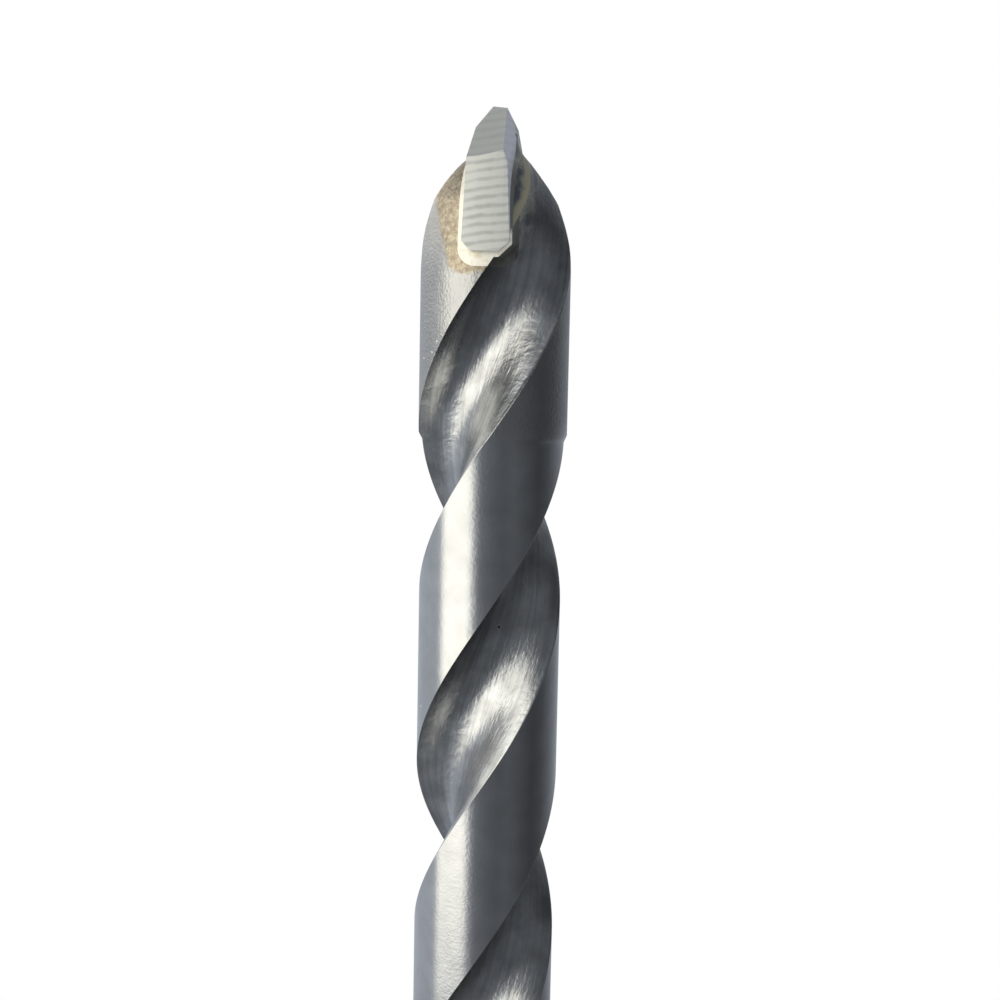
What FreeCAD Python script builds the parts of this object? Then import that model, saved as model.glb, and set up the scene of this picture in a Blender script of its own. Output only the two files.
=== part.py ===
import FreeCAD, Part
import math
import os
import Sketcher

# Carbide tipped twist drill, 8 mm, standing on the end of its shank with the tip up (+Z).
# The carbide plate spans the tip along Y. Its leading side faces +X on the half at -Y.
# Millimetres and degrees throughout. The drill cuts clockwise seen from the shank.

document = FreeCAD.newDocument("carbide_tipped_drill")
sheet = document.addObject("Spreadsheet::Sheet", "sizes")

SIZES = [
    ("total_length", 120.0, "end of the shank to the point"),
    ("cutting_diameter", 8.0, "across the carbide plate"),
    ("head_diameter", 7.7, "steel head that holds the plate"),
    ("body_diameter", 7.4, "fluted body"),
    ("shank_diameter", 7.0, "plain round end that the chuck grips"),
    ("shank_length", 32.0, "end of the shank to the shoulder under the body"),
    ("shank_chamfer", 0.5, "at the end of the shank"),
    ("collar_length", 4.0, "plain body between that shoulder and the flutes"),
    ("head_length", 16.7, "point down to the step below the head"),
    ("step_ramp", 0.35, "height of the slope at that step"),
    ("shoulder_drop", 4.9, "point down to the top of the head's rounded rim"),
    ("rim_height", 3.8, "of that round, from the head's full width to its top"),
    ("rim_inset", 0.43, "what the round takes off the head's radius"),
    ("rim_round", 18.0, "radius of the round"),
    ("crown_angle", 41.5, "cone above the rim, measured from the axis"),
    ("crown_swell", 5.0, "radius of that cone's slight dome"),
    ("neck_diameter", 3.0, "where the cone turns up beside the plate"),
    ("neck_top_diameter", 2.0, "at the top of the neck"),
    ("neck_height", 1.25, "of the hollow curve from the cone up the plate"),
    ("neck_hollow", 1.6, "radius of that curve"),
    ("flute_lead", 35.7, "height of one full turn"),
    ("flute_steep_angle", 35.4, "flute bottom to its edge on the steep side"),
    ("flute_long_angle", 53.0, "flute bottom to its edge on the long side"),
    ("flute_meets_plate", 0.95, "height above the plate's base where the edge passes it"),
    ("web_thickness", 3.1, "steel left between the two flutes"),
    ("runout_radius", 30.0, "cutter that leaves the flute at its lower end"),
    ("plate_thickness", 2.4, "at the plate's base"),
    ("plate_draft", 2.6, "each broad side leans in towards the top"),
    ("plate_side_height", 4.8, "base of the plate to the outer corner of a lip"),
    ("plate_chamfer", 0.5, "along the two lower edges"),
    ("point_angle", 109.0, "between the two lips"),
    ("first_relief", 11.7, "fall of the flank behind the first lip"),
    ("second_relief", 26.5, "the second flank is ground steeper"),
    ("lip_offset", 0.84, "outer corner of a lip ahead of the axis"),
    ("first_gash_lean", 17.1, "rake facet leans back from the vertical"),
    ("second_gash_lean", 21.5, "the second facet is ground deeper"),
    ("gash_turn", 6.8, "rake facet turns towards the web"),
    ("braze_thin", 0.08, "between slot and plate on the +X side, at the base"),
    ("braze_wide", 0.22, "between slot and plate on the -X side, at the base"),
    ("braze_below", 0.72, "under the plate"),
    ("braze_film", 0.26, "left on the plate's base where the flute passes it"),
    ("slot_corner", 0.9, "radius of the slot's lower corners"),
    ("overrun", 1.0, "how far every cutter passes what it cuts"),
]

for row, (alias, value, note) in enumerate(SIZES, start=1):
    sheet.set(f"A{row}", alias)
    sheet.set(f"B{row}", str(value))
    sheet.set(f"C{row}", note)
    sheet.setAlias(f"B{row}", alias)
document.recompute()

# Heights and radii that several pieces share, as expressions on the sheet.
HEAD_RADIUS = "(sizes.head_diameter / 2)"
RIM_RADIUS = f"({HEAD_RADIUS} - sizes.rim_inset)"
BODY_RADIUS = "(sizes.body_diameter / 2)"
CUTTING_RADIUS = "(sizes.cutting_diameter / 2)"
WEB_RADIUS = "(sizes.web_thickness / 2)"
NECK_RADIUS = "(sizes.neck_diameter / 2)"
SHANK_RADIUS = "(sizes.shank_diameter / 2)"
STEP_HEIGHT = "(sizes.total_length - sizes.head_length)"
SHOULDER_HEIGHT = "(sizes.total_length - sizes.shoulder_drop)"
NECK_HEIGHT = f"({SHOULDER_HEIGHT} + ({RIM_RADIUS} - {NECK_RADIUS}) / tan(sizes.crown_angle * 1 deg))"
LIP_SLOPE = "(1 / tan(sizes.point_angle / 2 * 1 deg))"
LIP_HEIGHT = (f"(sizes.total_length - {CUTTING_RADIUS} * {LIP_SLOPE}"
              " + sizes.lip_offset * tan(sizes.first_relief * 1 deg))")
PLATE_BASE = f"({LIP_HEIGHT} - sizes.plate_side_height)"
FLUTE_END = "(sizes.shank_length + sizes.collar_length)"
ABOVE_POINT = "(sizes.total_length + sizes.overrun)"
PAST_BOTH_SIDES = "sizes.cutting_diameter + 2 * sizes.overrun"
FLUTE_SPANS = 3


def evaluate(expression):
    """The number that an expression on the sheet gives now."""
    value = sheet.evalExpression(expression)
    return float(getattr(value, "Value", value))


def make_body(name):
    return document.addObject("PartDesign::Body", name)


def origin_item(body, role):
    return next(item for item in body.Origin.OriginFeatures if item.Role == role)


def make_sketch(body, plane_role, name):
    sketch = body.newObject("Sketcher::SketchObject", name)
    sketch.AttachmentSupport = [(origin_item(body, plane_role), "")]
    sketch.MapMode = "FlatFace"
    return sketch


def bind_point(sketch, edge, end, across, up):
    """Hold one end of an edge at two expressions, measured from the sketch's origin."""
    for kind, expression in (("DistanceX", across), ("DistanceY", up)):
        value = evaluate(expression)
        index = sketch.addConstraint(Sketcher.Constraint(kind, -1, 1, edge, end, value))
        sketch.setExpression(f"Constraints[{index}]", expression)


def draw_loop(sketch, corners, arcs=None):
    """Close a loop through corners given as pairs of expressions. arcs maps the number of an
    edge to the radius of its arc and the side, 1 or -1, that it bulges to seen along the loop."""
    arcs = arcs or {}
    points = [FreeCAD.Vector(evaluate(x), evaluate(y), 0) for x, y in corners]
    ends = []
    for number, start in enumerate(points):
        finish = points[(number + 1) % len(points)]
        if number not in arcs:
            edge = sketch.addGeometry(Part.LineSegment(start, finish))
            ends.append((edge, 1, 2))
            continue
        radius_expression, side = arcs[number]
        radius = evaluate(radius_expression)
        chord = finish - start
        inward = FreeCAD.Vector(-chord.y, chord.x, 0).normalize() * side
        centre = (start + finish) * 0.5 + inward * math.sqrt(radius ** 2 - (chord.Length / 2) ** 2)
        first, last = (start, finish) if side > 0 else (finish, start)
        angles = [math.atan2(point.y - centre.y, point.x - centre.x) for point in (first, last)]
        circle = Part.Circle(centre, FreeCAD.Vector(0, 0, 1), radius)
        edge = sketch.addGeometry(Part.ArcOfCircle(circle, *angles))
        ends.append((edge, 1, 2) if side > 0 else (edge, 2, 1))
        index = sketch.addConstraint(Sketcher.Constraint("Radius", edge, radius))
        sketch.setExpression(f"Constraints[{index}]", radius_expression)
    for number, (edge, first, last) in enumerate(ends):
        following, following_first, _ = ends[(number + 1) % len(ends)]
        sketch.addConstraint(
            Sketcher.Constraint("Coincident", edge, last, following, following_first))
        bind_point(sketch, edge, first, *corners[number])


def move_sketch(sketch, offsets, axis=None, angle=None):
    """Shift a sketch on its plane by expressions, and turn it about a local axis."""
    if axis is not None:
        turn = FreeCAD.Rotation(FreeCAD.Vector(*axis), evaluate(angle))
        sketch.AttachmentOffset = FreeCAD.Placement(FreeCAD.Vector(0, 0, 0), turn)
        sketch.setExpression("AttachmentOffset.Rotation.Angle", angle)
    for name, expression in zip("xyz", offsets):
        sketch.setExpression(f"AttachmentOffset.Base.{name}", expression)


def turn_profile(body, name, corners, arcs=None):
    """Revolve a loop of radii and heights about the axis of the drill."""
    sketch = make_sketch(body, "XZ_Plane", f"{name}_profile")
    draw_loop(sketch, corners, arcs)
    revolution = body.newObject("PartDesign::Revolution", name)
    revolution.Profile = sketch
    revolution.ReferenceAxis = (sketch, ["V_Axis"])
    revolution.Angle = 360
    return revolution


def pad_along_y(body, name, corners, length, arcs=None):
    """Pad a loop drawn in X and Z, half to each side of the axis."""
    sketch = make_sketch(body, "XZ_Plane", f"{name}_profile")
    draw_loop(sketch, corners, arcs)
    pad = body.newObject("PartDesign::Pad", name)
    pad.Profile = sketch
    pad.SideType = "Symmetric"
    pad.setExpression("Length", length)
    return pad


def cut_through(body, name, sketch):
    """Remove what stands over a loop, all the way through both sides of its plane."""
    pocket = body.newObject("PartDesign::Pocket", name)
    pocket.Profile = sketch
    pocket.SideType = "Symmetric"
    pocket.Type = "ThroughAll"
    return pocket


def make_turned_blank():
    """The steel as it leaves the lathe: shank, body, the thicker head, its round rim and cone."""
    body = make_body("turned_blank")
    top = f"({NECK_HEIGHT} + sizes.neck_height)"
    corners = [
        ("0", "0"),
        (f"{SHANK_RADIUS} - sizes.shank_chamfer", "0"),
        (SHANK_RADIUS, "sizes.shank_chamfer"),
        (SHANK_RADIUS, "sizes.shank_length"),
        (BODY_RADIUS, f"sizes.shank_length + {BODY_RADIUS} - {SHANK_RADIUS}"),
        (BODY_RADIUS, f"{STEP_HEIGHT} - sizes.step_ramp"),
        (HEAD_RADIUS, STEP_HEIGHT),
        (HEAD_RADIUS, f"{SHOULDER_HEIGHT} - sizes.rim_height"),
        (RIM_RADIUS, SHOULDER_HEIGHT),
        (NECK_RADIUS, NECK_HEIGHT),
        ("sizes.neck_top_diameter / 2", top),
        ("0", top),
    ]
    rounds = {7: ("sizes.rim_round", 1), 8: ("sizes.crown_swell", 1), 9: ("sizes.neck_hollow", -1)}
    turn_profile(body, "turning", corners, arcs=rounds)
    return body


def make_flute_cutter(side, span):
    """A stretch of one flute, as the twisted bar of air that it is. Two arcs meet at its
    bottom. A flute is several stretches end to end, each about a turn at most."""
    name = f"{side}_{span}"
    body = make_body(f"flute_cutter_{name}")
    web = WEB_RADIUS
    rim = BODY_RADIUS

    def arc_radius(angle):
        near = f"({rim} * cos({angle} * 1 deg) - {web})"
        far = f"({rim} ^ 2 - 2 * {rim} * {web} * cos({angle} * 1 deg) + {web} ^ 2)"
        return f"({far} / (2 * {near}))"

    steep = arc_radius("sizes.flute_steep_angle")
    long = arc_radius("sizes.flute_long_angle")
    outside = "(sizes.cutting_diameter / sqrt(2))"
    corners = [
        (web, "0"),
        (f"{web} + {steep}", f"-{steep}"),
        (f"{web} + {long} * (1 - cos(45 deg))", f"{long} * sin(45 deg)"),
    ]
    sketch = make_sketch(body, "XY_Plane", f"flute_section_{name}")
    draw_loop(sketch, corners, arcs={0: (steep, 1), 1: (outside, 1), 2: (long, 1)})

    # The flute's steep edge passes the lower corner of the plate's leading side at a set height.
    corner_angle = "asin(sizes.plate_thickness / sizes.head_diameter)"
    rise = f"(({ABOVE_POINT} - {FLUTE_END} + sizes.overrun) / {FLUTE_SPANS})"
    start = f"({FLUTE_END} - sizes.overrun + {rise} * {span})"
    passing = f"({PLATE_BASE} + sizes.flute_meets_plate)"
    turn = (f"({corner_angle} / 1 deg - 90 + sizes.flute_steep_angle + {180 * side}"
            f" - 360 * ({passing} - {start}) / sizes.flute_lead)")
    move_sketch(sketch, ("0", "0", start), axis=(0, 0, 1), angle=turn)

    path = make_sketch(body, "XZ_Plane", f"flute_path_{name}")
    edge = path.addGeometry(Part.LineSegment(FreeCAD.Vector(0, evaluate(start), 0),
                                             FreeCAD.Vector(0, evaluate(f"{start} + {rise}"), 0)))
    bind_point(path, edge, 1, "0", start)
    bind_point(path, edge, 2, "0", f"{start} + {rise}")

    helix = document.addObject("Part::Helix", f"flute_helix_{name}")
    helix.setExpression("Pitch", "sizes.flute_lead")
    helix.setExpression("Height", rise)
    helix.setExpression("Radius", rim)
    helix.setExpression("Placement.Base.z", start)
    document.recompute()

    bar = body.newObject("PartDesign::AdditivePipe", f"flute_bar_{name}")
    bar.Profile = sketch
    bar.Spine = (path, ["Edge1"])
    bar.Mode = "Auxiliary"
    bar.AuxiliarySpine = (helix, ["Edge1"])
    bar.AuxiliaryCurvilinear = True
    return body


def make_runout_core():
    """The cutter lifts out of the steel on an arc, so the web grows to full size."""
    body = make_body("runout_core")
    inner = f"({WEB_RADIUS} / 2)"
    outer = f"(2 * {BODY_RADIUS})"

    def climb(radius):
        return f"sqrt(sizes.runout_radius ^ 2 - (sizes.runout_radius - ({radius} - {inner})) ^ 2)"

    top = f"({FLUTE_END} + {climb(BODY_RADIUS)})"
    bottom = f"({top} - {climb(outer)})"
    corners = [("0", bottom), (outer, bottom), (inner, top), ("0", top)]
    turn_profile(body, "runout", corners, arcs={1: ("sizes.runout_radius", -1)})
    return body


def make_slot_bar():
    """The sawn slot across the head, with round lower corners."""
    body = make_body("slot_bar")
    left = "(-sizes.plate_thickness / 2 - sizes.braze_wide)"
    right = "(sizes.plate_thickness / 2 + sizes.braze_thin)"
    floor = f"({PLATE_BASE} - sizes.braze_below)"
    corner = "sizes.slot_corner"
    corners = [
        (f"{left} + {corner}", floor),
        (f"{right} - {corner}", floor),
        (right, f"{floor} + {corner}"),
        (right, ABOVE_POINT),
        (left, ABOVE_POINT),
        (left, f"{floor} + {corner}"),
    ]
    pad_along_y(body, "slot", corners, PAST_BOTH_SIDES, arcs={1: (corner, 1), 5: (corner, 1)})
    return body


def make_film_bar():
    """Braze that clings to the plate's base where the flute runs past it."""
    body = make_body("film_bar")
    left = "(-sizes.plate_thickness / 2 - sizes.braze_wide)"
    right = "(sizes.plate_thickness / 2 + sizes.braze_thin)"
    floor = f"({PLATE_BASE} - sizes.braze_film)"
    bevel = "(sizes.plate_chamfer + sizes.braze_film / 2)"
    corners = [
        (f"{left} + {bevel}", floor),
        (f"{right} - {bevel}", floor),
        (right, f"{floor} + {bevel}"),
        (right, SHOULDER_HEIGHT),
        (left, SHOULDER_HEIGHT),
        (left, f"{floor} + {bevel}"),
    ]
    pad_along_y(body, "film_blank", corners, PAST_BOTH_SIDES)
    return body


def make_carbide_tip():
    """The sintered plate, ground round at both ends and to a point with two rake facets."""
    body = make_body("carbide_tip")
    half = "(sizes.plate_thickness / 2)"
    chamfer = "sizes.plate_chamfer"
    lean = f"(({ABOVE_POINT} - {PLATE_BASE} - {chamfer}) * tan(sizes.plate_draft * 1 deg))"
    corners = [
        (f"-{half} + {chamfer}", PLATE_BASE),
        (f"{half} - {chamfer}", PLATE_BASE),
        (half, f"{PLATE_BASE} + {chamfer}"),
        (f"{half} - {lean}", ABOVE_POINT),
        (f"-{half} + {lean}", ABOVE_POINT),
        (f"-{half}", f"{PLATE_BASE} + {chamfer}"),
    ]
    pad_along_y(body, "plate_blank", corners, PAST_BOTH_SIDES)

    rim = make_sketch(body, "XZ_Plane", "plate_rim_profile")
    below = f"{PLATE_BASE} - sizes.overrun"
    above = f"{ABOVE_POINT} + sizes.overrun"
    draw_loop(rim, [
        (CUTTING_RADIUS, below),
        ("sizes.cutting_diameter", below),
        ("sizes.cutting_diameter", above),
        (CUTTING_RADIUS, above),
    ])
    groove = body.newObject("PartDesign::Groove", "plate_rim")
    groove.Profile = rim
    groove.ReferenceAxis = (rim, ["V_Axis"])
    groove.Angle = 360

    reach = "sizes.cutting_diameter"
    second_height = (f"({LIP_HEIGHT} + {CUTTING_RADIUS} * {LIP_SLOPE}"
                     " - sizes.lip_offset * tan(sizes.second_relief * 1 deg))")
    flanks = [
        ("first_flank", "sizes.first_relief", -1, "sizes.total_length"),
        ("second_flank", "sizes.second_relief", 1, second_height),
    ]
    for name, relief, side, height in flanks:
        fall = f"({reach} * {LIP_SLOPE} * cos({relief} * 1 deg))"
        sketch = make_sketch(body, "YZ_Plane", f"{name}_line")
        draw_loop(sketch, [
            (f"{side} * {reach}", f"-{fall}"),
            (f"{-side} * {reach}", fall),
            (f"{-side} * {reach}", f"{fall} + {reach}"),
            (f"{side} * {reach}", f"{fall} + {reach}"),
        ])
        move_sketch(sketch, ("0", height, "0"), axis=(side, 0, 0), angle=relief)
        cut_through(body, name, sketch)

    for name, lean, side in (("first", "sizes.first_gash_lean", 1),
                             ("second", "sizes.second_gash_lean", -1)):
        slant = f"({reach} * tan({lean} * 1 deg))"
        gash = make_sketch(body, "XZ_Plane", f"{name}_rake_line")
        draw_loop(gash, [
            (f"{side} * {slant}", f"-{reach}"),
            (f"{2 * side} * {reach}", f"-{reach}"),
            (f"{2 * side} * {reach}", reach),
            (f"{-side} * {slant}", reach),
        ])
        place = (f"{side} * sizes.lip_offset", LIP_HEIGHT, f"{side} * {CUTTING_RADIUS}")
        move_sketch(gash, place, axis=(0, -1, 0), angle="sizes.gash_turn")
        cut_through(body, f"{name}_rake_facet", gash)
    return body


def join(kind, name, *shapes):
    """One boolean of the document, with the name that the result is known by."""
    result = document.addObject(kind, name)
    if kind in ("Part::MultiFuse", "Part::MultiCommon"):
        result.Shapes = list(shapes)
    else:
        result.Base, result.Tool = shapes
    return result


blank = make_turned_blank()
core = make_runout_core()
fluted = blank
for side in range(2):
    for span in range(FLUTE_SPANS):
        cutter = make_flute_cutter(side, span)
        lifted = join("Part::Cut", f"lifted_cutter_{side}_{span}", cutter, core)
        fluted = join("Part::Cut", f"fluted_{side}_{span}", fluted, lifted)
slot = make_slot_bar()
carbide_tip = make_carbide_tip()
drill_body = join("Part::Cut", "drill_body", fluted, slot)

slot_filling = join("Part::MultiCommon", "slot_filling", slot, fluted)
film = join("Part::MultiCommon", "film", make_film_bar(), blank)
braze = join("Part::MultiFuse", "braze_metal", slot_filling, film)
braze_seam = join("Part::Cut", "braze_seam", braze, carbide_tip)
document.recompute()

for item in document.Objects:
    if "Invalid" in item.State or "Error" in item.State:
        raise RuntimeError(f"{item.Name} failed: {item.State}")

os.makedirs("parts", exist_ok=True)
for piece in (drill_body, carbide_tip, braze_seam):
    if piece.Shape.isNull() or not piece.Shape.isValid():
        raise RuntimeError(f"{piece.Label} has no valid shape")
    piece.Shape.exportStep(f"parts/{piece.Label}.step")
    box = piece.Shape.BoundBox
    print(piece.Label, "solids", len(piece.Shape.Solids), "volume", round(piece.Shape.Volume, 3),
          "from", [round(v, 3) for v in (box.XMin, box.YMin, box.ZMin)],
          "to", [round(v, 3) for v in (box.XMax, box.YMax, box.ZMax)])
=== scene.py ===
import math
import bmesh
import bpy
import numpy as np
from mathutils import Matrix, Vector


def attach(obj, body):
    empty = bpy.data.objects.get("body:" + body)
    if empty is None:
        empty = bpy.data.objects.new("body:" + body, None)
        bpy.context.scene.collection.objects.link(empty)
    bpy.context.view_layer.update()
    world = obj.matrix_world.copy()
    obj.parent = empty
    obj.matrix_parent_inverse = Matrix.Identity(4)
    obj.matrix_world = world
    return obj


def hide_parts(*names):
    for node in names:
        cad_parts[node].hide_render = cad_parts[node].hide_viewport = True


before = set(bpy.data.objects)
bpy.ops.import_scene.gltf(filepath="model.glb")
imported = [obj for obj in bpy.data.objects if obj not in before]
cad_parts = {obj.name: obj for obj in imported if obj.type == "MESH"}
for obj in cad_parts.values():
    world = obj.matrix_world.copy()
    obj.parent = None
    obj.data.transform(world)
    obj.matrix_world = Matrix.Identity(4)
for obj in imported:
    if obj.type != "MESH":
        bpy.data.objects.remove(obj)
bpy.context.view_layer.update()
print("frame loaded")

mm = 0.001  # every size below is in millimetres, every mesh in metres


def linearColour(hexText):
    # sRGB hex to linear red, green, blue, alpha
    parts = [int(hexText[i:i + 2], 16) / 255 for i in (1, 3, 5)]
    return [p / 12.92 if p <= 0.04045 else ((p + 0.055) / 1.055) ** 2.4 for p in parts] + [1.0]


def addNode(tree, kind, settings=None, inputs=None):
    # one node: its settings, then its inputs as values or as links from other sockets
    node = tree.nodes.new(kind)
    for name, value in (settings or {}).items():
        setattr(node, name, value)
    for name, value in (inputs or {}).items():
        if isinstance(value, bpy.types.NodeSocket):
            tree.links.new(value, node.inputs[name])
        else:
            node.inputs[name].default_value = value
    return node


def newMaterial(name):
    # an empty node material and its tree
    material = bpy.data.materials.new(name)
    material.use_nodes = True
    material.node_tree.nodes.clear()
    return material, material.node_tree


def finishMaterial(tree, settings):
    # the Principled shader with its own values, wired to the output
    shader = addNode(tree, "ShaderNodeBsdfPrincipled", inputs=settings)
    addNode(tree, "ShaderNodeOutputMaterial", inputs={"Surface": shader.outputs[0]})


def meshPiece(name, mesh, materials, replacedNode):
    # a piece of the drill, in place of the node that it dresses
    for material in materials:
        mesh.materials.append(material)
    piece = bpy.data.objects.new(name, mesh)
    bpy.context.scene.collection.objects.link(piece)
    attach(piece, "root")
    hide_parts(replacedNode)
    return piece


drillSteel = {
    "shankRadius": 3.5, "shankLength": 32.0, "shankChamfer": 0.5,
    "bodyRadius": 3.7, "fluteStart": 36.0,
    "headRadius": 3.85, "stepTop": 103.3, "stepRamp": 0.35,
    "shoulder": 115.1, "rimHeight": 3.8, "rimInset": 0.43, "rimRound": 18.0,
    "coneAngle": 41.5, "coneSwell": 5.0,
    "neckRadius": 1.5, "neckTopRadius": 1.0, "neckHeight": 1.25, "neckHollow": 1.6,
    "webRadius": 1.55, "steepAngle": 35.4, "longAngle": 53.0,
    "lead": 35.7, "edgeHeight": 113.471, "edgeAngle": 18.16,
    "runoutRadius": 30.0,
    "heelTurn": 24.0,     # degrees that the long side is flatter than its arc where it meets the rim
    "honing": 0.04,       # width of the rounding along a flute edge
    "honingDepth": 0.3,   # its depth as a share of its width
    "rowHeight": 0.3, "fluteColumns": 24, "landColumns": 32,
    "rimSteps": 10, "coneSteps": 12, "neckSteps": 8, "slotSteps": 8,
    "meanRadius": 0.7,    # where the flute lies on average, as a share of the body's radius
    "slotLeft": -1.42, "slotRight": 1.28, "slotFloor": 111.801, "slotCorner": 0.9,
    "cutterReach": 6.0, "cutterOver": 3.0,    # the bar that cuts the slot is this much larger
    "sharpFrom": 28.0,    # degrees between faces past which an edge is left sharp
}


def arcBetween(start, end, radius, side, count):
    # points on the arc from start to end that bulges out (side 1) or in (side -1); the start is left out
    start, end = np.array(start), np.array(end)
    chord = end - start
    inward = np.array([-chord[1], chord[0]]) / np.hypot(*chord) * side
    centre = (start + end) / 2 + inward * math.sqrt(radius ** 2 - chord @ chord / 4)
    first, last = (math.atan2(p[1] - centre[1], p[0] - centre[0]) for p in (start, end))
    sweep = (last - first + math.pi) % (2 * math.pi) - math.pi
    turns = first + sweep * np.linspace(0, 1, count + 1)[1:]
    return centre + radius * np.stack([np.cos(turns), np.sin(turns)], 1)


def latheProfile(d):
    # radius against height of the turned bar: straight runs, a rounded rim, a domed cone, a hollow neck
    full = (d["headRadius"], d["shoulder"] - d["rimHeight"])
    rim = (d["headRadius"] - d["rimInset"], d["shoulder"])
    coneRise = (rim[0] - d["neckRadius"]) / math.tan(math.radians(d["coneAngle"]))
    neck = (d["neckRadius"], d["shoulder"] + coneRise)
    top = (d["neckTopRadius"], neck[1] + d["neckHeight"])
    corners = [
        (d["shankRadius"] - d["shankChamfer"], 0.0),
        (d["shankRadius"], d["shankChamfer"]),
        (d["shankRadius"], d["shankLength"]),
        (d["bodyRadius"], d["shankLength"] + d["bodyRadius"] - d["shankRadius"]),
        (d["bodyRadius"], d["stepTop"] - d["stepRamp"]),
        (d["headRadius"], d["stepTop"]),
        full,
    ]
    return np.vstack([
        corners,
        arcBetween(full, rim, d["rimRound"], 1, d["rimSteps"]),
        arcBetween(rim, neck, d["coneSwell"], 1, d["coneSteps"]),
        arcBetween(neck, top, d["neckHollow"], -1, d["neckSteps"]),
    ])


def profileRows(d):
    # heights no further apart than rowHeight from the top of the shank up, with every corner of the
    # profile kept
    profile = latheProfile(d)
    runs = []
    for (r0, z0), (r1, z1) in zip(profile[:-1], profile[1:]):
        count = max(1, math.ceil((z1 - z0) / d["rowHeight"])) if z0 >= d["shankLength"] else 1
        share = np.linspace(0, 1, count, endpoint=False)[:, None]
        runs.append(np.array([[r0, z0]]) + share * np.array([[r1 - r0, z1 - z0]]))
    return np.vstack(runs + [profile[-1:]])


def fluteArc(d, angle):
    # radius of the arc that touches the web at the bottom and meets the body's rim at angle
    rim, web, c = d["bodyRadius"], d["webRadius"], math.cos(math.radians(angle))
    return (rim ** 2 - 2 * rim * web * c + web ** 2) / (2 * (rim * c - web))


def drillSurface(d):
    # The section is walked round in even shares, closer by the edges: along the steep arc from the
    # rim to the web, up the long arc to the rim, over the land, and the same on the other side.
    # A point of an arc is (web + arc - arc cos s, arc sin s), and s ends where its distance from
    # the axis is the lathe radius at that height. The long side stands proud of its arc by
    # tan(heelTurn) length t t (1 - t), t being the share of the way to the body's rim, so that it
    # runs out nearly flat. The whole section turns with height by the lead.
    rows = profileRows(d)
    radius, height = rows[:, :1], rows[:, 1:]
    web = d["webRadius"]
    reach = np.maximum(radius, web + 0.02)    # a sliver of arc stays where the neck is thinner
    shares = np.concatenate([[0], np.linspace(0.012, 0.96, d["fluteColumns"]), [0.985, 1]])
    sides = []
    for sign, name in ((-1, "steepAngle"), (1, "longAngle")):
        arc = fluteArc(d, d[name])
        middle = web + arc
        last = np.arccos(np.clip((middle ** 2 + arc ** 2 - reach ** 2) / (2 * middle * arc), -1, 1))
        s = last * shares[None, :]
        x, y = middle - arc * np.cos(s), sign * arc * np.sin(s)
        if sign > 0:
            atRim = math.asin(d["bodyRadius"] * math.sin(math.radians(d[name])) / arc)
            t = np.minimum(s / atRim, 1)
            raised = math.tan(math.radians(d["heelTurn"])) * arc * atRim * t ** 2 * (1 - t)
            x, y = x + raised * np.cos(s), y - raised * np.sin(s)
        sides.append((np.hypot(x, y), np.arctan2(y, x), sign * arc * s))
    steep, long = sides
    inner = web / 2
    climb = math.sqrt(d["runoutRadius"] ** 2 - (d["runoutRadius"] - d["bodyRadius"] + inner) ** 2)
    # the run-out's arc lifts the flute's floor by radius - root(radius squared - depth squared)
    below = np.clip(d["fluteStart"] + climb - height, 0, d["runoutRadius"] * 0.99)
    runout = inner + d["runoutRadius"] - np.sqrt(d["runoutRadius"] ** 2 - below ** 2)
    fluteR = np.hstack([steep[0][:, ::-1], long[0][:, 1:]])
    fluteA = np.hstack([steep[1][:, ::-1], long[1][:, 1:]])
    acrossMm = np.hstack([steep[2][:, ::-1], long[2][:, 1:]])
    fluteR = np.minimum(np.maximum(fluteR, runout), radius)
    landStart, landEnd = fluteA[:, -1:], np.pi + fluteA[:, :1]
    nearEdge = d["honing"] / d["bodyRadius"] * np.array([0.5, 1.0])
    spread = np.linspace(0, 1, d["landColumns"] + 2)[1:-1]
    landA = np.hstack([
        landStart + nearEdge, landStart + nearEdge[1] + (landEnd - landStart - 2 * nearEdge[1]) * spread,
        landEnd - nearEdge[::-1],
    ])
    eased = radius - d["honing"] * d["honingDepth"] * (height > d["fluteStart"])
    fluteR[:, :1] = np.minimum(fluteR[:, :1], eased)
    fluteR[:, -1:] = np.minimum(fluteR[:, -1:], eased)
    r = np.hstack([fluteR, np.broadcast_to(radius, landA.shape)])
    angle = np.hstack([fluteA, landA])
    across = np.hstack([acrossMm, acrossMm[:, -1:] + (landA - landStart) * radius])
    inFlute = np.broadcast_to(np.arange(r.shape[1]) < fluteR.shape[1], r.shape) & (radius > web)
    r, across, inFlute = (np.hstack([part, part]) for part in (r, across, inFlute))
    angle = np.hstack([angle, angle + np.pi])
    bottom = math.radians(d["edgeAngle"] - 90 + d["steepAngle"])
    turn = bottom - 2 * np.pi * (d["edgeHeight"] - height) / d["lead"] + angle
    points = np.stack([r * np.cos(turn), r * np.sin(turn), np.broadcast_to(height, r.shape)], -1)
    steepLength = -acrossMm[:, :1]
    fromSteep = np.hstack([acrossMm + steepLength, (landEnd - landA) * radius])
    fromSteep = np.hstack([fromSteep, fromSteep])
    return points, inFlute, across, height, fromSteep


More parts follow.
